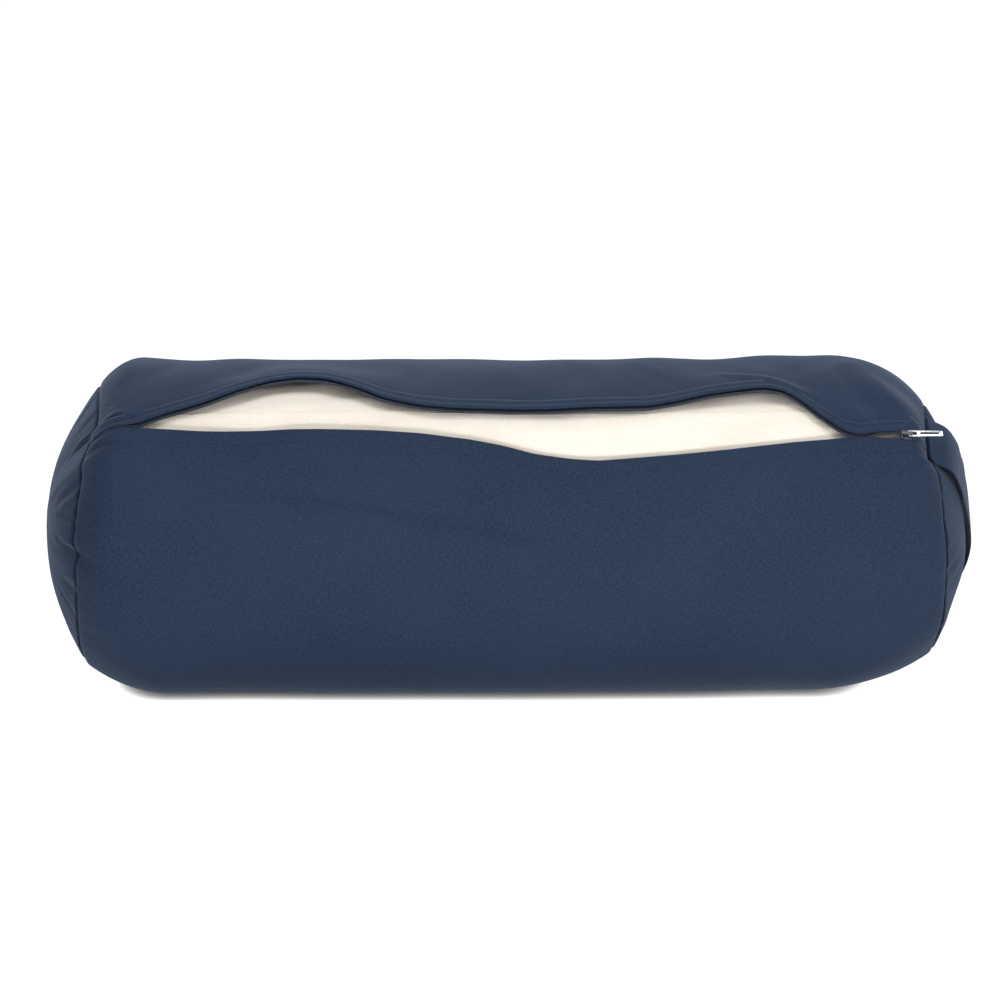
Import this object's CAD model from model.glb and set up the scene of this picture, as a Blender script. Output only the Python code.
"""Looks of the round bolster: navy canvas cover, open zip, cream insert and carrying strap."""

import math

import bpy
import numpy as np
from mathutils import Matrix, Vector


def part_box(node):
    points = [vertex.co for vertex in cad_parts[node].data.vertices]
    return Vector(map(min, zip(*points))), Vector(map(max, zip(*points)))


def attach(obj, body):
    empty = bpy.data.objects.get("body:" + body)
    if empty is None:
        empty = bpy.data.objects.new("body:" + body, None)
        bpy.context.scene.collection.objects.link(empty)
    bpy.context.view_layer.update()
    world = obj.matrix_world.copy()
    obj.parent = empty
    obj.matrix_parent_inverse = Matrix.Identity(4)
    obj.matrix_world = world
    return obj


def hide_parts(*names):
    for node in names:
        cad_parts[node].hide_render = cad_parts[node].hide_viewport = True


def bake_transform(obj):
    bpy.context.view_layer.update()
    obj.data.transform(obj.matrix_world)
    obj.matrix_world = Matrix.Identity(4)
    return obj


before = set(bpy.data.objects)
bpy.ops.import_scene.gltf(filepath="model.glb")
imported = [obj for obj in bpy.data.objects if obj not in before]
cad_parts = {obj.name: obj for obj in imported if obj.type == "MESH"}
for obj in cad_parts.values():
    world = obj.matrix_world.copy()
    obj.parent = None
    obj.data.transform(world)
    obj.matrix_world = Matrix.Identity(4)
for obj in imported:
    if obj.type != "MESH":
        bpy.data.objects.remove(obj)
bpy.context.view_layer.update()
bpy.ops.object.select_all(action="DESELECT")

# ---------------------------------------------------------------------------------------------
# Studio: a white floor, a camera a little above the roll, and soft light from above and around.
# The floor shows white to the camera and keeps a faint shadow under the roll.
# ---------------------------------------------------------------------------------------------
camera_distance = 2.0
camera_elevation = math.radians(13.5)
camera_target = (-0.0075, 0.0, 0.139)
camera_lens = 96.0
camera_place = (
    camera_target[0],
    -camera_distance * math.cos(camera_elevation),
    camera_target[2] + camera_distance * math.sin(camera_elevation),
)
bpy.ops.object.camera_add(
    location=camera_place, rotation=(math.pi / 2 - camera_elevation, 0, 0)
)
camera = bpy.context.object
camera.data.lens = camera_lens
bpy.context.scene.camera = camera
bpy.context.scene.view_settings.view_transform = "Standard"


class Wire:
    """A number on its way through a material. Sums and products with it add Math nodes."""

    def __init__(self, finish, socket):
        self.finish = finish
        self.socket = socket

    def math(self, operation, *values):
        return self.finish.node("Math", {"operation": operation}, dict(enumerate(values)))

    def __add__(self, other):
        return self.math("ADD", self, other)

    def __sub__(self, other):
        return self.math("SUBTRACT", self, other)

    def __mul__(self, other):
        return self.math("MULTIPLY", self, other)

    def __pow__(self, other):
        return self.math("POWER", self, other)


class Finish:
    """A material in the making: its nodes, and the shader that they feed."""

    def __init__(self, name):
        self.material = bpy.data.materials.new(name)
        self.material.use_nodes = True
        self.tree = self.material.node_tree
        self.shader = self.tree.nodes["Principled BSDF"]

    def feed(self, socket, value):
        if isinstance(value, Wire):
            self.tree.links.new(value.socket, socket)
        else:
            socket.default_value = value

    def node(self, kind, settings=None, inputs=None, output=0):
        made = self.tree.nodes.new("ShaderNode" + kind)
        for key, value in (settings or {}).items():
            setattr(made, key, value)
        for key, value in (inputs or {}).items():
            self.feed(made.inputs[key], value)
        return Wire(self, made.outputs[output])

    def mix(self, share, low, high):
        """A colour between two, by share."""
        return self.node("Mix", {"data_type": "RGBA"}, {0: share, 6: low, 7: high}, output=2)

    def scaled(self, vector, scale, offset=(0, 0, 0)):
        """A copy of a pattern's coordinates, stretched and moved."""
        return self.node("Mapping", {}, {"Vector": vector, "Scale": scale, "Location": offset})

    def noise(self, vector, scale, detail=2.0):
        return self.node("TexNoise", {}, {"Vector": vector, "Scale": scale, "Detail": detail})

    def range(self, value, low, high, to_low=0.0, to_high=1.0):
        return self.node("MapRange", {}, {0: value, 1: low, 2: high, 3: to_low, 4: to_high})

    def set(self, **values):
        """Sets the shader's own sockets, named with _ for a space."""
        for key, value in values.items():
            self.feed(self.shader.inputs[key.replace("_", " ")], value)

    def bump(self, height, distance, strength=1.0):
        """Raises the surface by a height of 0 to 1 times distance, in metres."""
        normal = self.node(
            "Bump", {}, {"Height": height, "Distance": distance, "Strength": strength}
        )
        self.feed(self.shader.inputs["Normal"], normal)


floor_drop = 0.0004
floor_size = 60.0
bpy.ops.mesh.primitive_plane_add(size=floor_size, location=(0, 0, -floor_drop))
floor = bpy.context.object
floor.name = "floor"
floor_white = Finish("floor_white")
floor_white.set(Base_Color=(0.9, 0.9, 0.9, 1), Roughness=0.9)
floor_white.shader.inputs["Specular IOR Level"].default_value = 0.0
floor_glow = 1.13
glow_share = 0.88
glow = floor_white.tree.nodes.new("ShaderNodeEmission")
glow.inputs["Strength"].default_value = floor_glow
seen = floor_white.node("LightPath", output=0)
mirrored = floor_white.node("LightPath", output=3)
shown = seen.math("MAXIMUM", seen, mirrored)
blend_node = floor_white.tree.nodes.new("ShaderNodeMixShader")
crevice = floor_white.node("AmbientOcclusion", {"samples": 8}, {"Distance": 0.006}, output=1)
floor_white.feed(blend_node.inputs[0], shown * glow_share * crevice**1.2)
floor_white.tree.links.new(floor_white.shader.outputs[0], blend_node.inputs[1])
floor_white.tree.links.new(glow.outputs[0], blend_node.inputs[2])
floor_white.tree.links.new(
    blend_node.outputs[0], floor_white.tree.nodes["Material Output"].inputs["Surface"]
)
floor.data.materials.append(floor_white.material)

world = bpy.data.worlds.new("studio")
bpy.context.scene.world = world
world.use_nodes = True
sky = world.node_tree.nodes["Background"]
sky.inputs["Color"].default_value = (1, 1, 1, 1)
world_light = 0.42
path = world.node_tree.nodes.new("ShaderNodeLightPath")
level = world.node_tree.nodes.new("ShaderNodeMapRange")
level.inputs["To Min"].default_value = world_light
level.inputs["To Max"].default_value = 1.0
either = world.node_tree.nodes.new("ShaderNodeMath")
either.operation = "MAXIMUM"
world.node_tree.links.new(path.outputs["Is Camera Ray"], either.inputs[0])
world.node_tree.links.new(path.outputs["Is Glossy Ray"], either.inputs[1])
world.node_tree.links.new(either.outputs[0], level.inputs["Value"])
world.node_tree.links.new(level.outputs[0], sky.inputs["Strength"])


def softbox(name, place, turn, size, power):
    """A square lamp that shines along its own -Z."""
    bpy.ops.object.light_add(type="AREA", location=place, rotation=turn)
    lamp = bpy.context.object
    lamp.name = name
    lamp.data.shape = "RECTANGLE"
    lamp.data.size, lamp.data.size_y = size
    lamp.data.energy = power


softbox("top_light", (0.15, -0.10, 1.7), (math.radians(2), 0, 0), (0.8, 0.8), 10.5)
softbox("rim_light", (-0.25, 0.95, 1.15), (math.radians(-45), 0, 0), (1.2, 0.4), 13.0)
softbox("right_light", (1.9, -0.9, 0.9), (math.radians(68), 0, math.radians(62)), (0.9, 0.9), 5.0)
softbox("front_light", (0.2, -1.6, 0.70), (math.radians(70), 0, 0), (2.2, 0.6), 2.5)
softbox("low_light", (0.15, -0.88, 0.05), (math.radians(93), 0, 0), (1.6, 0.1), 6.0)

# ---------------------------------------------------------------------------------------------
# Cover tube: one panel of navy cotton canvas round the roll, its two long edges hemmed and sewn
# to the zip, its short edges sewn to the round ends. The open edges stand off the insert.
# ---------------------------------------------------------------------------------------------
tube_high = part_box("cover_tube")[1]
left_end_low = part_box("cover_end_left")[0]
right_end_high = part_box("cover_end_right")[1]
roll_radius = tube_high[1]
axis_height = tube_high[2] - roll_radius
flat_blend = 0.006  # how softly the cloth leaves the floor
canvas_thickness = 0.0007
zip_line = math.radians(44.0)  # above the horizontal, at the front
closing_upper = math.radians(26.0)  # what each lip turns when the zip is drawn shut
closing_lower = math.radians(10.0)
closed_upper = math.radians(2.2)  # where the hems stop, so that the coils meet
closed_lower = math.radians(0.5)
slider_low, slider_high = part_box("zip_slider")
slider_x = (slider_low[0] + slider_high[0]) / 2
slider_stop_x = slider_x - 0.56
upper_hem = 0.0045  # from each lip's edge to its row of top stitches
lower_hem = 0.010


def ease(t):
    """0 below 0, 1 above 1, and smooth between."""
    t = np.clip(t, 0, 1)
    return t * t * (3 - 2 * t)


def hump(t):
    """1 at 0, falling to nothing past about 2."""
    return np.exp(-np.square(t))


def smooth_line(points, width):
    """A soft curve through (x, value) points: straight runs, blurred over width."""
    grid = np.linspace(-0.36, 0.36, 1441)
    values = np.interp(grid, *np.array(points, float).T)
    reach = np.arange(-60, 61) * (grid[1] - grid[0])
    kernel = hump(reach / width)
    padded = np.pad(values, 60, mode="edge")
    soft = np.convolve(padded, kernel / kernel.sum(), mode="valid")
    return lambda x: np.interp(x, grid, soft)


# Each lip's height round the roll, in degrees above the zip line
upper_points = [(-0.30, 3.5), (-0.285, 3.6), (-0.275, 4.2), (-0.264, 5.5), (-0.243, 10.1)]
upper_points += [(-0.216, 14.4), (-0.190, 19.3), (-0.171, 23.9), (-0.154, 25.3), (-0.135, 24.6)]
upper_points += [(-0.121, 21.7), (-0.093, 15.6), (-0.065, 12.4), (-0.043, 11.6), (0.0, 11.0)]
upper_points += [(0.042, 11.4), (0.099, 12.7), (0.116, 14.3), (0.142, 17.0), (0.157, 18.0)]
upper_points += [(0.170, 18.9), (0.183, 19.4), (0.197, 17.9), (0.210, 13.6), (0.223, 7.8)]
upper_points += [(0.236, 2.4), (0.244, 0.8), (0.252, 0.7), (0.258, 1.4), (0.264, 1.8)]
upper_points += [(0.287, 1.8), (0.292, 0.5), (0.305, 0.5)]
lower_points = [(-0.30, 3.1), (-0.264, 2.6), (-0.242, 2.0), (-0.221, 1.4), (-0.207, 1.3)]
lower_points += [(-0.177, 1.6), (-0.157, 2.2), (-0.136, 2.2), (-0.093, 1.5), (-0.064, 0.5)]
lower_points += [(-0.043, -0.9), (-0.029, -1.8), (-0.007, -4.0), (0.017, -7.2), (0.042, -9.0)]
lower_points += [(0.063, -9.6), (0.099, -8.2), (0.134, -6.8), (0.177, -4.3), (0.205, -2.7)]
lower_points += [(0.241, -1.1), (0.252, -0.8), (0.258, -1.2), (0.264, -1.7), (0.287, -1.8)]
lower_points += [(0.292, -0.4), (0.305, -0.4)]
upper_rise = smooth_line(upper_points, 0.0045)
lower_rise = smooth_line(lower_points, 0.0045)


def upper_angle(x):
    return zip_line + np.radians(upper_rise(x))


def lower_angle(x):
    return zip_line + np.radians(lower_rise(x))


def wrapped(angle):
    """The same direction between -180 and 180 degrees, with the break at the back."""
    return np.mod(angle + math.pi, 2 * math.pi) - math.pi


def around(points, blur=3.0):
    """A soft curve right round the roll, through (degrees, value) points."""
    turns = np.arange(-180, 180, 0.5)
    values = np.interp(turns, *np.array(points, float).T, period=360)
    kernel = hump(np.arange(-10, 10.5, 0.5) / blur)
    padded = np.pad(values, 20, mode="wrap")
    soft = np.convolve(padded, kernel / kernel.sum(), mode="valid")
    return lambda angle: np.interp(np.degrees(angle), turns, soft, period=360)


# Where each end seam lies along the roll, and how wide it is. The strap pulls the right one in.
left_line = [(103, -0.3077), (77, -0.302), (65, -0.2995), (56, -0.2985), (48, -0.302)]
left_line += [(38, -0.3077), (33, -0.306), (24, -0.3082), (10, -0.3113), (6, -0.3116)]
left_line += [(1.7, -0.308), (-4, -0.311), (-10, -0.3106), (-31, -0.3131), (-43, -0.3145)]
left_line += [(-76, -0.3148), (-140, -0.311), (160, -0.312), (130, -0.309)]
right_line = [(103, 0.3105), (80, 0.306), (66, 0.3025), (58, 0.301), (46, 0.299), (40, 0.2993)]
right_line += [(36, 0.3055), (26, 0.3078), (17, 0.3083), (7, 0.3106), (0, 0.3114)]
right_line += [(-24, 0.3123), (-45, 0.3108), (-76, 0.312), (-112, 0.309), (-128, 0.301)]
right_line += [(-145, 0.308), (180, 0.311), (140, 0.31)]
right_ring_line = [(103, 0.091), (75, 0.094), (52, 0.102), (30, 0.105), (-30, 0.104)]
right_ring_line += [(-76, 0.094), (-110, 0.096), (-140, 0.102), (180, 0.104), (140, 0.1)]
left_seam = around(left_line, 1.6)
right_seam = around(right_line, 2.2)
left_ring = around([(0, 0.105), (90, 0.1055), (180, 0.105), (-90, 0.1045)])
right_ring = around(right_ring_line)
left_run = around([(103, 0.036), (44, 0.026), (20, 0.034), (-30, 0.045), (-76, 0.068), (180, 0.04)])
right_run = around(
    [(103, 0.085), (75, 0.07), (60, 0.03), (50, 0.016), (36, 0.018), (28, 0.03), (0, 0.036)]
    + [(-30, 0.05), (-76, 0.1), (-110, 0.09), (180, 0.04), (140, 0.06)]
)
right_bend = around([(103, 3.2), (60, 2.2), (44, 1.7), (0, 2.1), (-76, 2.1), (180, 2.1)])


def roll_form(x, angle):
    """The stuffed roll as the cloth lies on it: sagged at the top, turned in at the end seams."""
    turn = wrapped(angle)
    left = np.clip(1 - (x - left_seam(angle)) / left_run(angle), 0, 1)
    right = np.clip(1 - (right_seam(angle) - x) / right_run(angle), 0, 1)
    left_drop = roll_radius - left_ring(angle)
    right_drop = roll_radius - right_ring(angle)
    top_sag = 0.0030 * hump((turn - math.radians(103)) / 0.66) * (1 - ease((x - 0.13) / 0.09))
    belly = 0.0025 * hump((turn + math.radians(76)) / 0.66) * ease((x - 0.02) / 0.2)
    inland = ease((right_seam(angle) - x) / 0.05) * ease((x - left_seam(angle)) / 0.05)
    soft = (top_sag + belly) * inland
    return roll_radius - soft - left_drop * left**2.0 - right_drop * right ** right_bend(angle)


seam_round = 0.0031


def seam_groove(gap):
    """Both cloths turn inwards, in a quarter round, over the last millimetres before a seam."""
    return seam_round * (1 - np.sqrt(1 - np.square(np.clip(1 - gap / seam_round, 0, 1))))


def crease(x, s, path, depth, width, ridge=0.4):
    """A fold pressed along a path of (x, s) points: a valley with a soft ridge along one side."""
    best = np.full(x.shape, 1e9)
    along = np.zeros(x.shape)
    side = np.zeros(x.shape)
    points = np.array(path, float)
    lengths = np.linalg.norm(np.diff(points, axis=0), axis=1)
    total, done = lengths.sum(), 0.0
    for start, stop, length in zip(points[:-1], points[1:], lengths):
        run = (stop - start) / length
        u = (x - start[0]) * run[0] + (s - start[1]) * run[1]
        v = (s - start[1]) * run[0] - (x - start[0]) * run[1]
        clipped = np.clip(u, 0, length)
        away = np.hypot(u - clipped, v)
        nearer = away < best
        best = np.where(nearer, away, best)
        side = np.where(nearer, v, side)
        along = np.where(nearer, (done + clipped) / total, along)
        done += length
    fade = np.sin(math.pi * np.clip(0.08 + 0.92 * along, 0, 1)) ** 0.7
    valley = hump(best / width)
    bank = hump((best - 2.1 * width) / (1.2 * width)) * (side > 0)
    return depth * fade * (ridge * bank - valley)


def ripple(x, s, seed, height, length, stretch=1.0):
    """Gentle unevenness from a handful of waves, the same on every run."""
    chance = np.random.default_rng(seed)
    total = np.zeros(x.shape)
    for turn, phase, pace in chance.uniform(0, 1, (10, 3)):
        heading = 2 * math.pi * turn
        wave = 2 * math.pi * (0.6 + 0.8 * pace) / length
        total += np.sin(
            wave * (x * math.cos(heading) / stretch + s * math.sin(heading)) + 2 * math.pi * phase
        )
    return height * total / 3.2


def degrees_at(turn):
    """The distance round the roll that a turn in degrees makes."""
    return roll_radius * math.radians(turn)


long_fold = [(-0.236, degrees_at(29.5)), (-0.212, degrees_at(26.6)), (-0.17, degrees_at(23.5))]
long_fold += [(-0.127, degrees_at(21.5)), (-0.075, degrees_at(17.7)), (-0.022, degrees_at(12.9))]
long_fold += [(0.035, degrees_at(8.5)), (0.07, degrees_at(5))]
folds = [
    (long_fold, 0.0046, 0.0050),
    ([(-0.17, degrees_at(33)), (-0.10, degrees_at(27)), (-0.03, degrees_at(23))], 0.0007, 0.007),
    ([(0.0, degrees_at(-6)), (0.07, degrees_at(-12)), (0.13, degrees_at(-13))], 0.0006, 0.008),
    ([(-0.313, degrees_at(4)), (-0.297, degrees_at(-1)), (-0.280, degrees_at(-6))], 0.0026, 0.0028),
    ([(-0.306, degrees_at(40)), (-0.287, degrees_at(42)), (-0.268, degrees_at(41))], 0.0020, 0.003),
    ([(-0.300, degrees_at(54)), (-0.28, degrees_at(50)), (-0.26, degrees_at(50))], 0.0012, 0.003),
    ([(0.30, degrees_at(30)), (0.268, degrees_at(33)), (0.235, degrees_at(31))], 0.0009, 0.005),
    ([(0.243, degrees_at(78)), (0.250, degrees_at(63)), (0.259, degrees_at(52))], 0.0046, 0.0080),
    ([(0.150, degrees_at(74)), (0.188, degrees_at(68)), (0.222, degrees_at(60))], -0.0018, 0.004),
    ([(0.092, degrees_at(80)), (0.105, degrees_at(73)), (0.122, degrees_at(65))], 0.0010, 0.005),
    ([(0.20, degrees_at(72)), (0.235, degrees_at(88)), (0.262, degrees_at(101))], 0.0010, 0.008),
    ([(-0.24, degrees_at(62)), (-0.20, degrees_at(74)), (-0.17, degrees_at(88))], 0.0009, 0.008),
    ([(-0.28, degrees_at(66)), (-0.25, degrees_at(80)), (-0.24, degrees_at(96))], 0.0009, 0.007),
    ([(-0.08, degrees_at(62)), (-0.06, degrees_at(80)), (-0.07, degrees_at(97))], 0.0008, 0.008),
    ([(0.03, degrees_at(60)), (0.05, degrees_at(78)), (0.03, degrees_at(96))], 0.0007, 0.009),
    ([(0.12, degrees_at(66)), (0.11, degrees_at(84)), (0.13, degrees_at(100))], 0.0008, 0.008),
    ([(-0.20, degrees_at(150)), (-0.05, degrees_at(140)), (0.08, degrees_at(146))], 0.0012, 0.008),
    ([(0.05, degrees_at(-150)), (0.17, degrees_at(-158)), (0.26, degrees_at(-150))], 0.0010, 0.007),
]


def seam_puckers(seed, count):
    """Where the cloth bunches at an end seam: (turn, length, slant, depth, width) each."""
    chance = np.random.default_rng(seed)
    turns = np.linspace(-math.pi, math.pi, count, endpoint=False)
    turns = turns + chance.uniform(-0.5, 0.5, count) * 2 * math.pi / count
    lengths = chance.uniform(0.010, 0.034, count)
    slants = chance.uniform(-0.35, 0.35, count)
    depths = chance.uniform(0.0004, 0.0019, count)
    widths = chance.uniform(0.0016, 0.0030, count)
    return np.stack([turns, lengths, slants, depths, widths], axis=1)


left_puckers = seam_puckers(3, 34)
right_puckers = seam_puckers(11, 34)


def on_upper_lip(x, turn):
    """Whether a place on the cover belongs to the upper lip's side of the mouth."""
    return turn > (upper_angle(x) + lower_angle(x)) / 2


def cover_radius(x, angle):
    """The cover's outer face, with hems, folds and puckers, as a radius about the roll's axis."""
    turn = wrapped(angle)
    s = roll_radius * turn
    above = on_upper_lip(x, turn)
    side_gap = np.where(above, turn - upper_angle(x), lower_angle(x) - turn)
    behind = np.maximum(side_gap * roll_radius, 0)
    hem = np.where(above, upper_hem, lower_hem)
    radius = roll_form(x, angle)
    radius -= seam_groove(x - left_seam(angle)) + seam_groove(right_seam(angle) - x)
    radius += np.where(above, 0.0013, 0.0005) * (1 - ease((behind - hem) / 0.003))
    radius -= np.where(above, 0.0014, 0.0008) * hump((behind - hem) / 0.0012)
    open_share = ease((upper_rise(x) - 9) / 13) * ease((0.27 - np.abs(x)) / 0.05)
    lift = np.where(above, 0.0046, 0.0) * open_share
    hollow = 0.0012 * open_share * above * hump((behind - 0.045) / 0.02)
    radius += lift * hump(behind / 0.026) - hollow
    for path, depth, width in folds:
        radius += crease(x, s, path, depth, width)
    for puckers, seam, way in ((left_puckers, left_seam, 1), (right_puckers, right_seam, -1)):
        for where, length, slant, depth, width in puckers:
            start = float(seam(np.array(where)))
            stop = start + way * length
            ends = [(start - way * 0.004, roll_radius * where)]
            ends += [(stop, roll_radius * where + slant * length)]
            radius += crease(x, s, ends, depth, width, ridge=0.5)
    calm = ease((roll_radius * 0.9 - np.abs(s)) / 0.05)
    radius += ripple(x, s, 5, 0.0005, 0.11, 1.5) + ripple(x, s, 6, 0.00022, 0.035, 1.2) * calm
    radius += ripple(x, s, 8, 0.0005, 0.06, 1.0) * above
    return radius


def settle(points):
    """Lays what would reach below the floor flat on it, with a soft turn."""
    z = points[:, 2]
    share = np.clip(0.5 + 0.5 * z / flat_blend, 0, 1)
    points[:, 2] = np.maximum(z * share + flat_blend * share * (1 - share), 0)
    return points


def roll_point(x, angle, radius):
    """A place in the frame, from its place along, round and out from the roll's axis."""
    return np.stack(
        [x, -radius * np.cos(angle), axis_height + radius * np.sin(angle)], axis=1
    )


def points_of(piece):
    flat = np.empty(len(piece.data.vertices) * 3)
    piece.data.vertices.foreach_get("co", flat)
    return flat.reshape(-1, 3)


def cloth_grid(name, columns, rows, shape):
    """A woven panel. shape turns its two shares into places and cloth measures, in metres."""
    bpy.ops.mesh.primitive_grid_add(x_subdivisions=columns, y_subdivisions=rows, size=2)
    piece = bpy.context.object
    piece.name = name
    mesh = piece.data
    share = (points_of(piece)[:, :2] + 1) / 2
    places, cloth = shape(share[:, 0], share[:, 1])
    mesh.vertices.foreach_set("co", places.ravel())
    corners = np.empty(len(mesh.loops), dtype=int)
    mesh.loops.foreach_get("vertex_index", corners)
    mesh.uv_layers[0].data.foreach_set("uv", cloth[corners].ravel())
    mesh.update()
    bpy.ops.object.shade_smooth()
    return piece


def face_outwards(piece):
    """Joins doubled points and turns every face outwards."""
    bpy.ops.object.select_all(action="DESELECT")
    piece.select_set(True)
    bpy.context.view_layer.objects.active = piece
    bpy.ops.object.mode_set(mode="EDIT")
    bpy.ops.mesh.select_all(action="SELECT")
    bpy.ops.mesh.remove_doubles(threshold=0.00002)
    bpy.ops.mesh.normals_make_consistent(inside=False)
    bpy.ops.object.mode_set(mode="OBJECT")


def thicken(piece, thickness, offset=-1.0):
    """Gives a panel its cloth's thickness."""
    bpy.context.view_layer.objects.active = piece
    solid = piece.modifiers.new("thickness", "SOLIDIFY")
    solid.thickness = thickness
    solid.offset = offset
    bpy.ops.object.modifier_apply(modifier=solid.name)


def lip_point(x, side, back, depth):
    """A place along a lip: back from its edge round the roll, and depth under the cover's face."""
    edge = upper_angle(x) if side > 0 else lower_angle(x)
    angle = edge + side * back / roll_radius
    face = edge + side * np.maximum(back, 0.0002) / roll_radius
    return roll_point(x, angle, cover_radius(x, face) - depth), angle


fold_radius = 0.0009
fold_round = math.pi * fold_radius
fold_under = 0.009
lip_band = 0.030
seam_band = 0.052
side_columns = 30
mid_columns = 118
lip_rows = 18
round_rows = 5
under_rows = 4
belly_rows = 126
cover_columns = 2 * side_columns + mid_columns
cover_rows = 2 * (under_rows + round_rows + lip_rows) + belly_rows


def cover_tube_shape(a, b):
    column = a * cover_columns
    row = b * cover_rows
    row_stops = np.cumsum([0, under_rows, round_rows, lip_rows, belly_rows, lip_rows, round_rows])
    row_stops = np.append(row_stops, cover_rows)
    gap_stops = [0, 0.00012, 0.0005, 0.0012, 0.0024, 0.0045, seam_band]
    edge_gap = np.interp(column, [0, 1, 2, 3, 4, 5, side_columns], gap_stops)
    far_gap = np.interp(cover_columns - column, [0, 1, 2, 3, 4, 5, side_columns], gap_stops)
    middle = np.clip((column - side_columns) / mid_columns, 0, 1)
    x = np.interp(middle, [0, 1], [-0.305 + seam_band, 0.305 - seam_band])
    for _ in range(2):
        low, high = lower_angle(x), upper_angle(x) - 2 * math.pi
        girth = (low - high) * roll_radius
        q = np.interp(row, row_stops[:4], [-fold_under - fold_round, -fold_round, 0, lip_band])
        belly = np.clip((row - row_stops[3]) / belly_rows, 0, 1)
        q = np.where(row > row_stops[3], lip_band + belly * (girth - 2 * lip_band), q)
        tail = np.interp(row, row_stops[4:], [-lip_band, 0, fold_round, fold_round + fold_under])
        q = np.where(row > row_stops[4], girth + tail, q)
        angle = low - np.clip(q, 0, girth) / roll_radius
        left, right = left_seam(angle), right_seam(angle)
        x = middle * (right - left - 2 * seam_band) + left + seam_band
        x = np.where(column < side_columns, left + edge_gap, x)
        x = np.where(column > side_columns + mid_columns, right - far_gap, x)
    low, high = lower_angle(x), upper_angle(x) - 2 * math.pi
    girth_here = (low - high) * roll_radius
    q = q + np.where(row > row_stops[4], girth_here - girth, 0)
    past = np.maximum(np.maximum(-q, q - girth_here), 0)
    side = np.where(q < 0, 1.0, -1.0)
    bend = np.clip(past / fold_radius, 0, math.pi)
    reach = fold_radius * np.sin(bend) - np.maximum(past - fold_round, 0)
    depth = fold_radius * (1 - np.cos(bend))
    face_angle = low - np.clip(q, 0.0002, girth_here - 0.0002) / roll_radius
    angle = low - (np.clip(q, 0, girth_here) - side * reach) / roll_radius
    places = roll_point(x, angle, cover_radius(x, face_angle) - depth)
    return settle(places), np.stack([x, q], axis=1)


def closing_share(x, angle):
    """How much of the upper lip's turn a place on the cover makes when the zip is drawn shut."""
    turn = wrapped(angle)
    at_stop = hump((x - slider_stop_x) / 0.007)
    upper_stop = zip_line + closed_upper + math.radians(0.5) * at_stop
    lower_stop = zip_line - closed_lower - math.radians(1.8) * at_stop
    upper_move = upper_angle(x) - upper_stop
    lower_move = lower_angle(x) - lower_stop
    upper_fade = 1 - ease((turn - upper_angle(x)) / (math.pi - upper_angle(x)))
    lower_fade = 1 - ease((lower_angle(x) - turn) / (lower_angle(x) + math.radians(75)))
    ends = ease((x - left_seam(angle)) / 0.02) * ease((right_seam(angle) - x) / 0.015)
    upper = on_upper_lip(x, turn)
    return np.where(upper, upper_move * upper_fade, lower_move * lower_fade) * ends


def ride_lip(piece, side=0):
    """Lets a piece of the mouth follow its lip as the zip closes. side 0 is the cover itself."""
    full_turn = closing_lower if side < 0 else -closing_upper
    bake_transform(piece)
    x, y, z = points_of(piece).T
    angle = np.arctan2(z - axis_height, -y)
    if side:
        angle = (upper_angle(x) + 0.001) if side > 0 else (lower_angle(x) - 0.001)
    -closing_share(x, angle) / full_turn


def woven_coordinates(finish, thread):
    """The cloth's own measures, and two waves that count its threads."""
    cloth = finish.node("UVMap")
    split = finish.tree.nodes.new("ShaderNodeSeparateXYZ")
    finish.tree.links.new(cloth.socket, split.inputs[0])
    along = Wire(finish, split.outputs[0])
    across = Wire(finish, split.outputs[1])
    warp = (along * (math.pi / thread)).math("SINE", along * (math.pi / thread))
    weft = (across * (math.pi / thread)).math("SINE", across * (math.pi / thread))
    return cloth, warp, weft


def weave_height(warp, weft):
    """Threads that pass over and under each other, from 0 to 1."""
    over = warp * weft
    lift = over.math("ABSOLUTE", warp) * 0.5 + over.math("ABSOLUTE", weft) * 0.5
    return lift * 0.7 + over * 0.3


def canvas_finish(name, colour, light, dark):
    """Piece-dyed cotton canvas: fine weave, slubs both ways, and paler where it has rubbed."""
    finish = Finish(name)
    cloth, warp, weft = woven_coordinates(finish, 0.00055)
    slub_along = finish.noise(finish.scaled(cloth, (260, 1150, 1)), 1.0, 3.0)
    slub_across = finish.noise(finish.scaled(cloth, (1150, 260, 1), (3, 7, 0)), 1.0, 3.0)
    speck = finish.noise(finish.scaled(cloth, (800, 800, 1), (11, 2, 0)), 1.0, 2.0)
    mottle = finish.noise(finish.scaled(cloth, (820, 1000, 1), (1, 6, 0)), 1.0, 2.0)
    cloud = finish.noise(finish.scaled(cloth, (9, 9, 1)), 1.0, 3.0)
    grain = slub_along * 0.5 + slub_across * 0.5
    tone = finish.range(grain * 0.55 + mottle * 0.45, 0.39, 0.61)
    base = finish.mix(tone, dark, light)
    soft = finish.mix(0.25, base, colour)
    faded = finish.mix(finish.range(cloud, 0.35, 0.7, 0.0, 0.28), soft, light)
    flecked = finish.mix(finish.range(speck, 0.62, 0.76, 0.0, 0.6), faded, light)
    seam = finish.node("Attribute", {"attribute_name": "seam_shade"}, output=2)
    finish.set(
        Base_Color=finish.mix(seam * 0.9, flecked, seam_dark),
        Roughness=finish.range(grain, 0.3, 0.7, 0.82, 0.92),
    )
    finish.shader.inputs["Specular IOR Level"].default_value = 0.12
    finish.shader.inputs["Sheen Weight"].default_value = 0.20
    finish.shader.inputs["Sheen Roughness"].default_value = 0.30
    finish.shader.inputs["Sheen Tint"].default_value = (0.55, 0.65, 0.85, 1)
    finish.bump(weave_height(warp, weft) * 0.55 + grain * 0.9, 0.00022, 0.8)
    return finish.material


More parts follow.
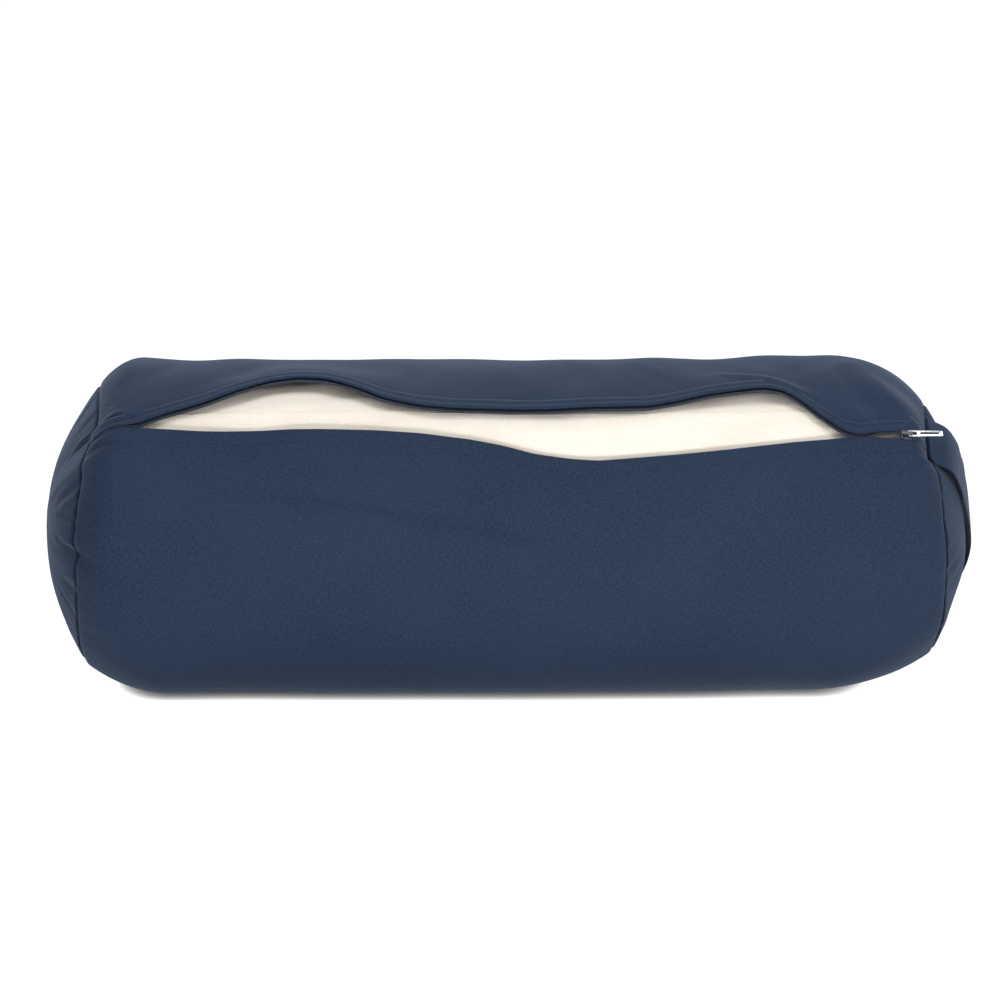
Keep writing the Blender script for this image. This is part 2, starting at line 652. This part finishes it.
navy = (0.0144, 0.0268, 0.0550, 1)
navy_light = (0.0275, 0.0465, 0.0845, 1)
navy_dark = (0.0068, 0.0142, 0.0325, 1)
seam_dark = (0.0015, 0.003, 0.007, 1)
navy_canvas = canvas_finish("navy_canvas", navy, navy_light, navy_dark)

def shade_seams(piece):
    """Marks the depth of the end seams, where lint and shade make the cloth look darker."""
    x, y, z = points_of(piece).T
    angle = np.arctan2(z - axis_height, -y)
    radius = np.hypot(z - axis_height, y)
    right = x > 0
    along = np.where(right, x - right_seam(angle), x - left_seam(angle))
    ring = np.where(right, right_ring(angle), left_ring(angle))
    mark = piece.data.attributes.new("seam_shade", "FLOAT", "POINT")
    away = np.hypot(along, radius - (ring - seam_round))
    mark.data.foreach_set("value", hump(away / 0.0022).astype(np.float32))


cover_tube = cloth_grid("cover_tube_cloth", cover_columns, cover_rows, cover_tube_shape)
face_outwards(cover_tube)
thicken(cover_tube, canvas_thickness)
shade_seams(cover_tube)
cover_tube.data.materials.append(navy_canvas)
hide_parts("cover_tube")
ride_lip(cover_tube)

# ---------------------------------------------------------------------------------------------
# Cover ends: two round panels of the same canvas, swollen by the insert and puckered where
# they are eased onto the tube.
# ---------------------------------------------------------------------------------------------
left_apex = left_end_low[0] - 0.0015
right_apex = right_end_high[0] - 0.0055
end_rings = 54
end_spokes = 216


def end_shape(way, inset):
    """A round end's shape. way is -1 for the left end and 1 for the right."""
    seam = right_seam if way > 0 else left_seam
    ring = right_ring if way > 0 else left_ring
    apex = right_apex if way > 0 else left_apex
    puckers = right_puckers if way > 0 else left_puckers

    def shape(a, b):
        angle = 2 * math.pi * a
        outer = np.array([5, 4, 3, 2, 1, 0]) / end_rings
        stops = [0, 0.4, *(1 - outer)]
        out = np.interp(b, stops, [0, 0.55, 0.962, 0.977, 0.9886, 0.9952, 0.9988, 1])
        full = ring(angle) - inset
        radius = full * out
        edge = seam(angle) - way * inset
        bulge = (apex - way * inset - edge) * (1 - out**2)
        x = edge + bulge
        turn = wrapped(angle)
        gap = full * (1 - out)
        dent = np.zeros(x.shape)
        for where, length, slant, depth, width in puckers[::-1]:
            shifted = wrapped(turn - where - 0.06) * 0.105
            path = [(-0.004, 0.0), (length * 1.25, -slant * length)]
            dent += crease(gap, shifted * out, path, depth * 1.1, width, ridge=0.5)
        if way < 0:
            tuck = [(-0.003, 0), (0.03, 0.006)]
            dent += crease(gap, (turn - 0.04) * 0.105 * out, tuck, 0.0022, 0.003)
        places = roll_point(x, angle, radius)
        dent += ripple(places[:, 1], places[:, 2], 21 + way, 0.0007, 0.07)
        lip = seam_groove(gap)
        x = x + way * (dent * ease(gap / 0.001) - lip * 0.2)
        radius = radius - lip
        places = roll_point(x, angle, radius)
        return settle(places), places[:, 1:]

    return shape


for name, way in (("left", -1), ("right", 1)):
    cover_end = cloth_grid(f"cover_end_{name}_cloth", end_spokes, end_rings, end_shape(way, 0.0))
    face_outwards(cover_end)
    thicken(cover_end, canvas_thickness)
    shade_seams(cover_end)
    cover_end.data.materials.append(navy_canvas)
    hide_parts(f"cover_end_{name}")
    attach(cover_end, "root")

# ---------------------------------------------------------------------------------------------
# Insert: a case of natural cotton, a tube closed by one double-sewn seam along it and two round
# ends, round a roll of cotton. It swells a little where the cover is open.
# ---------------------------------------------------------------------------------------------
liner_inset = 0.0054
liner_thickness = 0.0006
liner_seam = zip_line + math.radians(8.8)
liner_columns = 210
liner_rows = 190


def liner_radius(x, angle):
    """The insert case's outer face as a radius about the roll's axis."""
    turn = wrapped(angle)
    s = roll_radius * turn
    radius = roll_form(x, angle) - liner_inset
    middle = (upper_angle(x) + lower_angle(x)) / 2
    half = np.maximum((upper_angle(x) - lower_angle(x)) / 2, 0.01)
    swell = ease((upper_rise(x) - lower_rise(x) - 4) / 14)
    radius += 0.0020 * swell * hump((turn - middle) / (half * 1.15))
    seam_gap = (turn - liner_seam) * roll_radius + 0.0012 * np.sin(x * 17)
    bank, dip = hump((seam_gap - 0.002) / 0.0028), hump((seam_gap + 0.0032) / 0.0009)
    radius += 0.0006 * bank - 0.0006 * dip
    across = (x - 0.094) - 0.004 * np.sin(s * 60)
    radius -= 0.0005 * hump(across / 0.0011) * ease((0.13 - s) / 0.02)
    radius += ripple(x, s, 31, 0.0004, 0.05, 2.4) + ripple(x, s, 32, 0.00035, 0.018, 3.0)
    covered = (turn > upper_angle(x)) | (turn < lower_angle(x))
    return np.where(covered, np.minimum(radius, cover_radius(x, angle) - 0.0024), radius)


def liner_tube_shape(a, b):
    angle = zip_line + math.pi + 2 * math.pi * b
    left = left_seam(angle) + liner_inset
    right = right_seam(angle) - liner_inset
    x = left + (right - left) * (a - 0.16 * np.sin(2 * math.pi * a) / (2 * math.pi))
    places = roll_point(x, angle, liner_radius(x, angle))
    return settle(places), np.stack([x, roll_radius * angle], axis=1)


def cream_finish(name, light, shade, stain):
    """Unbleached cotton: open plain weave, seed flecks and faint handling marks."""
    finish = Finish(name)
    cloth, warp, weft = woven_coordinates(finish, 0.0006)
    slub = finish.noise(finish.scaled(cloth, (200, 900, 1)), 1.0, 3.0)
    slub_up = finish.noise(finish.scaled(cloth, (900, 200, 1), (5, 1, 0)), 1.0, 3.0)
    cloud = finish.noise(finish.scaled(cloth, (14, 30, 1)), 1.0, 3.0)
    seed = finish.noise(finish.scaled(cloth, (340, 340, 1), (2, 9, 0)), 1.0, 1.0)
    grain = slub * 0.5 + slub_up * 0.5
    base = finish.mix(finish.range(grain, 0.35, 0.65), shade, light)
    clouded = finish.mix(finish.range(cloud, 0.5, 0.75, 0.0, 0.3), base, stain)
    flecked = finish.mix(finish.range(seed, 0.74, 0.8, 0.0, 0.5), clouded, stain)
    finish.set(Base_Color=flecked, Roughness=0.9)
    finish.shader.inputs["Specular IOR Level"].default_value = 0.2
    finish.bump(weave_height(warp, weft) * 0.6 + grain * 0.6, 0.0002, 0.7)
    return finish.material


cream_cotton = cream_finish(
    "cream_cotton", (0.90, 0.84, 0.75, 1), (0.85, 0.78, 0.68, 1), (0.67, 0.57, 0.45, 1)
)
liner_tube = cloth_grid("liner_tube_cloth", liner_columns, liner_rows, liner_tube_shape)
face_outwards(liner_tube)
thicken(liner_tube, liner_thickness)
liner_tube.data.materials.append(cream_cotton)
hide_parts("liner_tube")
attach(liner_tube, "root")

for name, way in (("left", -1), ("right", 1)):
    liner_end = cloth_grid(f"liner_end_{name}_cloth", 120, 30, end_shape(way, liner_inset))
    face_outwards(liner_end)
    thicken(liner_end, liner_thickness)
    liner_end.data.materials.append(cream_cotton)
    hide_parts(f"liner_end_{name}")
    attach(liner_end, "root")

# ---------------------------------------------------------------------------------------------
# Filling: cotton batting rolled up tight, so its ends show the spiral of the layers.
# ---------------------------------------------------------------------------------------------
filling_inset = 0.0070
filling_turns = 9.0


def filling_shape(a, b):
    angle = 2 * math.pi * b
    half = 0.5 - np.abs(a - 0.5)
    face = np.clip(half / 0.16, 0, 1)
    side = np.clip((half - 0.16) / 0.34, 0, 1)
    left = left_seam(angle) + filling_inset
    right = right_seam(angle) - filling_inset
    way = np.where(a < 0.5, -1.0, 1.0)
    seam = np.where(a < 0.5, left, right)
    x_side = seam + (0.0 - seam) * side
    swell = np.where(a < 0.5, left_apex + filling_inset - left, right_apex - filling_inset - right)
    spiral = np.sin(2 * math.pi * filling_turns * face - angle)
    x_face = seam + swell * (1 - face**2) - way * 0.0016 * (1 + spiral) * ease((1 - face) / 0.1)
    on_face = face < 1
    x = np.where(on_face, x_face, x_side)
    lumps = ripple(x, roll_radius * np.sin(angle), 41, 0.0008, 0.05)
    lumpy = roll_form(x, angle) - filling_inset + lumps
    round_side = np.minimum(lumpy, liner_radius(x, angle)) - 0.0014
    ring = np.where(a < 0.5, left_ring(angle), right_ring(angle)) - filling_inset
    radius = np.where(on_face, face * ring, round_side)
    places = roll_point(x, angle, radius)
    return settle(places), np.stack([x, roll_radius * angle], axis=1)


batting = Finish("cotton_batting")
batting_place = batting.node("TexCoord", output=3)
fibre = batting.noise(batting.scaled(batting_place, (60, 220, 220)), 1.0, 6.0)
batting.set(
    Base_Color=batting.mix(fibre, (0.7, 0.65, 0.56, 1), (0.88, 0.84, 0.76, 1)), Roughness=0.98
)
batting.bump(fibre, 0.0012, 0.9)
filling = cloth_grid("filling_batting", 160, 96, filling_shape)
face_outwards(filling)
filling.data.materials.append(batting.material)
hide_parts("filling")
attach(filling, "root")

# ---------------------------------------------------------------------------------------------
# Zip tapes: woven polyester ribbons sewn under the two hems, one coil along each inner edge.
# ---------------------------------------------------------------------------------------------
tape_thickness = 0.0005
tape_under = 0.012
slider_depth = 0.0005  # the coils lie at this depth where they pass through the slider
zip_low, zip_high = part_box("zip_tape_upper")
coil_low, coil_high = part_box("zip_coil_upper")


def zip_depth(x, side):
    """How deep under the cover's face the coils run."""
    near_slider = ease((0.016 - np.abs(x - slider_x)) / 0.012)
    return (0.0015 if side > 0 else 0.0021) * (1 - near_slider) + slider_depth * near_slider


def coil_back(x, side):
    """How far behind the hem's edge a coil's middle lies. It is negative where the coil shows."""
    near_slider = ease((x - 0.252) / 0.012)
    near_end = ease((-0.262 - x) / 0.02)
    wide = -0.0044 if side > 0 else -0.0008
    return wide * (1 - near_slider) * (1 - near_end) - 0.0020 * near_slider


def tape_shape(side):
    def shape(a, b):
        x = zip_low[0] + (zip_high[0] - zip_low[0]) * a
        edge = coil_back(x, side) + 0.0002
        back = tape_under + (edge - tape_under) * b
        near = ease(1 - (back - edge) / 0.006)
        depth = 0.0034 + (zip_depth(x, side) + 0.0009 - 0.0034) * near
        places, angle = lip_point(x, side, back, depth)
        return places, np.stack([x, back], axis=1)

    return shape


tape_cloth = Finish("zip_tape_weave")
_, tape_warp, tape_weft = woven_coordinates(tape_cloth, 0.0005)
tape_cloth.set(
    Base_Color=tape_cloth.mix(
        weave_height(tape_warp, tape_weft), (0.010, 0.016, 0.032, 1), (0.030, 0.042, 0.070, 1)
    ),
    Roughness=0.75,
)
tape_cloth.bump(weave_height(tape_warp, tape_weft), 0.0002, 0.8)

for name, side in (("upper", 1), ("lower", -1)):
    tape = cloth_grid(f"zip_tape_{name}_weave", 240, 10, tape_shape(side))
    face_outwards(tape)
    thicken(tape, tape_thickness)
    tape.data.materials.append(tape_cloth.material)
    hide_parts(f"zip_tape_{name}")
    ride_lip(tape, side)

# ---------------------------------------------------------------------------------------------
# Zip coils: a nylon thread wound into flat loops, one loop to each tooth, along each tape.
# ---------------------------------------------------------------------------------------------
tooth_pitch = 0.00125
tooth_half_width = 0.0011
tooth_half_height = 0.0008
tooth_wire = 0.00026


def lip_frames(x, side, back, depth):
    """Places along a lip, with the directions along it, across it and out of the roll."""
    spots, angle = lip_point(x, side, back, depth)
    along = np.gradient(spots, axis=0)
    along /= np.linalg.norm(along, axis=1)[:, None]
    outward = np.stack([np.zeros(x.shape), -np.cos(angle), np.sin(angle)], axis=1)
    across = np.cross(outward, along)
    across /= np.linalg.norm(across, axis=1)[:, None]
    return spots, along, across, np.cross(along, across)


def repeat_along(name, template, frames):
    """One mesh of many copies of a small shape, one at each frame. The template is used up."""
    spots, along, across, outward = frames
    shape = points_of(template)
    faces = [list(face.vertices) for face in template.data.polygons]
    turned = (
        shape[None, :, :1] * along[:, None, :]
        + shape[None, :, 1:2] * across[:, None, :]
        + shape[None, :, 2:] * outward[:, None, :]
        + spots[:, None, :]
    )
    count = len(shape)
    every_face = [[k * count + v for v in face] for k in range(len(spots)) for face in faces]
    made = bpy.data.meshes.new(name)
    made.from_pydata(turned.reshape(-1, 3).tolist(), [], every_face)
    made.polygons.foreach_set("use_smooth", [True] * len(made.polygons))
    bpy.data.objects.remove(template)
    piece = bpy.data.objects.new(name, made)
    bpy.context.collection.objects.link(piece)
    return piece


def tooth():
    """One flat loop of nylon, leaning along the zip like a turn of a coil."""
    bpy.ops.mesh.primitive_torus_add(
        major_segments=10, minor_segments=5, major_radius=1.0, minor_radius=0.26
    )
    loop = bpy.context.object
    for vertex in loop.data.vertices:
        x, y, z = vertex.co
        vertex.co = (
            z * tooth_half_height * 0.9 + y * tooth_pitch * 0.28,
            x * (tooth_half_width - tooth_wire),
            y * (tooth_half_height - tooth_wire * 0.5),
        )
    return loop


nylon = Finish("coil_nylon")
nylon_place = nylon.node("TexCoord", output=3)
nylon_shade = nylon.noise(nylon.scaled(nylon_place, (900, 900, 900)), 1.0, 2.0)
nylon.set(
    Base_Color=nylon.mix(nylon_shade, (0.010, 0.015, 0.028, 1), (0.035, 0.046, 0.070, 1)),
    Roughness=nylon.range(nylon_shade, 0.3, 0.7, 0.28, 0.45),
)

tooth_x = np.arange(coil_low[0] - 0.008, coil_high[0] + 0.008, tooth_pitch)
for name, side in (("upper", 1), ("lower", -1)):
    tooth_line = tooth_x + (tooth_pitch / 2 if side < 0 else 0)
    frames = lip_frames(tooth_line, side, coil_back(tooth_line, side), zip_depth(tooth_line, side))
    coil = repeat_along(f"zip_coil_{name}_loops", tooth(), frames)
    coil.data.materials.append(nylon.material)
    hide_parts(f"zip_coil_{name}")
    ride_lip(coil, side)

# ---------------------------------------------------------------------------------------------
# Top stitches: navy thread through hem and tape, lying in the groove that it pulls. The end
# seams' stitches lie in their groove, and the insert's seam has two rows in cream.
# ---------------------------------------------------------------------------------------------
stitch_pitch = 0.0032
stitch_length = 0.0026
stitch_thick = 0.00042


def stitch():
    """One stitch: a short length of thread, dipping into the cloth at both ends."""
    bpy.ops.mesh.primitive_uv_sphere_add(segments=6, ring_count=5, radius=1.0)
    thread = bpy.context.object
    for vertex in thread.data.vertices:
        x, y, z = vertex.co
        vertex.co = (
            z * stitch_length / 2,
            x * stitch_thick / 2,
            y * stitch_thick / 2 - abs(z) ** 3 * stitch_thick * 0.5,
        )
    return thread


def thread_finish(name, low, high):
    finish = Finish(name)
    place = finish.node("TexCoord", output=3)
    twist = finish.noise(finish.scaled(place, (1400, 1400, 1400)), 1.0, 2.0)
    finish.set(Base_Color=finish.mix(twist, low, high), Roughness=0.8)
    finish.shader.inputs["Specular IOR Level"].default_value = 0.1
    finish.bump(twist, 0.00008, 0.8)
    return finish.material


navy_thread = thread_finish("navy_thread", (0.006, 0.011, 0.026, 1), (0.018, 0.031, 0.064, 1))
cream_thread = thread_finish("cream_thread", (0.80, 0.74, 0.64, 1), (0.92, 0.87, 0.78, 1))

hem_low, hem_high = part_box("hem_stitch_upper")
hem_x = np.arange(hem_low[0], hem_high[0], stitch_pitch)
for name, side, hem in (("upper", 1, upper_hem), ("lower", -1, lower_hem)):
    frames = lip_frames(hem_x, side, np.full(hem_x.shape, hem), np.full(hem_x.shape, 0.0))
    stitches = repeat_along(f"hem_stitches_{name}", stitch(), frames)
    stitches.data.materials.append(navy_thread)
    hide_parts(f"hem_stitch_{name}")
    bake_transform(stitches)
    x, y, z = points_of(stitches).T
    full_turn = closing_upper if side > 0 else -closing_lower
    closing_share(x, np.arctan2(z - axis_height, -y)) / full_turn



def row_frames(spots, turns):
    """Places along a row of stitches on the roll, with the directions along, across and out."""
    along = np.gradient(spots, axis=0)
    along /= np.linalg.norm(along, axis=1)[:, None]
    outward = np.stack([np.zeros(turns.shape), -np.cos(turns), np.sin(turns)], axis=1)
    return spots, along, np.cross(outward, along), outward


for name, seam, ring in (("left", left_seam, left_ring), ("right", right_seam, right_ring)):
    turns = np.linspace(-math.pi, math.pi, 210, endpoint=False)
    spots = roll_point(seam(turns), turns, ring(turns) - 0.0021)
    stitches = repeat_along(f"end_seam_stitches_{name}", stitch(), row_frames(spots, turns))
    stitches.data.materials.append(navy_thread)
    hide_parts(f"end_seam_thread_{name}")
    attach(stitches, "root")

row_x = np.arange(-0.268, 0.268, stitch_pitch)
rows = []
for rise in (-0.0028, 0.0036):
    turns = liner_seam + (rise - 0.0012 * np.sin(row_x * 17)) / roll_radius
    spots = roll_point(row_x, turns, liner_radius(row_x, turns) + 0.0001)
    rows.append(row_frames(spots, turns))
liner_frames = [np.concatenate(part) for part in zip(*rows)]
liner_stitches = repeat_along("liner_seam_stitches", stitch(), liner_frames)
liner_stitches.data.materials.append(cream_thread)
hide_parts("liner_seam_thread")
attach(liner_stitches, "root")

# ---------------------------------------------------------------------------------------------
# Slider and pull: die-cast zinc with a dark lacquer, rubbed bright along the edges.
# ---------------------------------------------------------------------------------------------


def zinc_finish(name, rubbed_from, rubbed_to):
    """Dark lacquer on zinc, worn through where the surface turns sharply outwards."""
    finish = Finish(name)
    place = finish.node("TexCoord", output=3)
    rub = finish.noise(finish.scaled(place, (500, 500, 500)), 1.0, 3.0)
    edge = finish.node("NewGeometry", output=7)
    worn = finish.range(edge + (rub - 0.5) * 0.05, rubbed_from, rubbed_to)
    finish.set(
        Base_Color=finish.mix(worn, (0.020, 0.024, 0.032, 1), (0.80, 0.81, 0.83, 1)),
        Metallic=finish.range(worn, 0.0, 1.0, 0.5, 1.0),
        Roughness=finish.range(rub, 0.3, 0.7, 0.22, 0.38),
    )
    return finish.material


zip_zinc = {
    "zip_slider": zinc_finish("slider_zinc", 0.54, 0.64),
    "zip_pull": zinc_finish("pull_zinc", 0.505, 0.56),
}
for node, metal in zip_zinc.items():
    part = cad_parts[node]
    weld = part.modifiers.new("weld", "WELD")
    weld.merge_threshold = 0.00001
    rounding = part.modifiers.new("rounding", "BEVEL")
    rounding.width = 0.00025
    rounding.segments = 2
    rounding.limit_method = "ANGLE"
    part.data.materials.clear()
    part.data.materials.append(metal)

# ---------------------------------------------------------------------------------------------
# Carrying strap: a folded band of the cover's canvas, its ends caught in the right end seam.
# It hangs slack: clear of the dome towards the front, lying on it towards the back.
# ---------------------------------------------------------------------------------------------
strap_turn = math.radians(52.0)
strap_half_width = 0.023
strap_half_thick = 0.0010
strap_reach = 0.102  # from the roll's axis to each root
strap_columns = 130
strap_sides = 44
chord = np.array([0.0, -math.cos(strap_turn), math.sin(strap_turn)])
strap_across = np.array([0.0, math.sin(strap_turn), math.cos(strap_turn)])
strap_clear = [(-1.02, 0.0), (-1, 0.0), (-0.92, 0.0024), (-0.6, 0.0034), (-0.2, 0.0042)]
strap_clear += [(0.0, 0.0040), (0.2, 0.0030), (0.4, 0.0031), (0.6, 0.0050), (0.78, 0.0084)]
strap_clear += [(0.9, 0.0094), (0.96, 0.0068), (1, 0.0010), (1.02, 0.0)]


def strap_middle(u, wide):
    """The strap's middle surface: u from -1 at the back root to 1 at the front, wide in metres."""
    spread = np.arcsin(wide / strap_reach)
    root_turn = np.where(u > 0, strap_turn + spread, strap_turn - math.pi - spread)
    ring, seam = right_ring(root_turn), right_seam(root_turn)
    reach = u * ring * np.cos(spread)
    bend = wide * (0.5 + 0.5 * u**4)
    share = (reach**2 + bend**2) / ring**2
    clear = np.mean([np.interp(u + d, *np.array(strap_clear).T) for d in (-0.04, 0, 0.04)], axis=0)
    clear += 0.0012 * np.sin(math.pi * u) * wide / strap_half_width
    x = right_apex - (right_apex - seam) * share + clear + 0.0004
    places = reach[:, None] * chord + wide[:, None] * strap_across
    return places + np.stack([x, np.zeros(x.shape), np.full(x.shape, axis_height)], axis=1)


def strap_shape(a, b):
    u = -1.01 + 2.02 * a
    turn = 2 * math.pi * b
    across = np.sign(np.cos(turn)) * np.abs(np.cos(turn)) ** 0.45
    thick = np.sign(np.sin(turn)) * np.abs(np.sin(turn)) ** 0.8
    wide = across * strap_half_width * (1 - 0.02 * np.sin(7 * u + 2) * (1 - u**2))
    step = 0.0005
    along = strap_middle(u + step, wide) - strap_middle(u - step, wide)
    sideways = strap_middle(u, wide + step) - strap_middle(u, wide - step)
    out = np.cross(along, sideways)
    out *= (np.sign(out[:, 0]) / np.linalg.norm(out, axis=1))[:, None]
    edge_roll = 0.25 * hump((np.abs(across) - 0.93) / 0.06)
    creases = 0.0004 * np.sin(26 * u + 2.2 * across) * ease(np.abs(u)) * (1 - u**2)
    places = strap_middle(u, wide)
    places += (thick * strap_half_thick * (1 + edge_roll) + creases)[:, None] * out
    measure = np.stack([u * 0.118, wide + np.sign(thick) * 0.05], axis=1)
    return places, measure


strap = cloth_grid("handle_strap_cloth", strap_columns, strap_sides, strap_shape)
face_outwards(strap)
strap.data.materials.append(navy_canvas)
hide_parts("handle_strap", "handle_end_front", "handle_end_back")
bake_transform(strap)
reach = (points_of(strap) - np.array([0, 0, axis_height])) @ chord / strap_reach
ease((1 - np.abs(reach)) / 0.9)

bpy.ops.object.select_all(action="DESELECT")
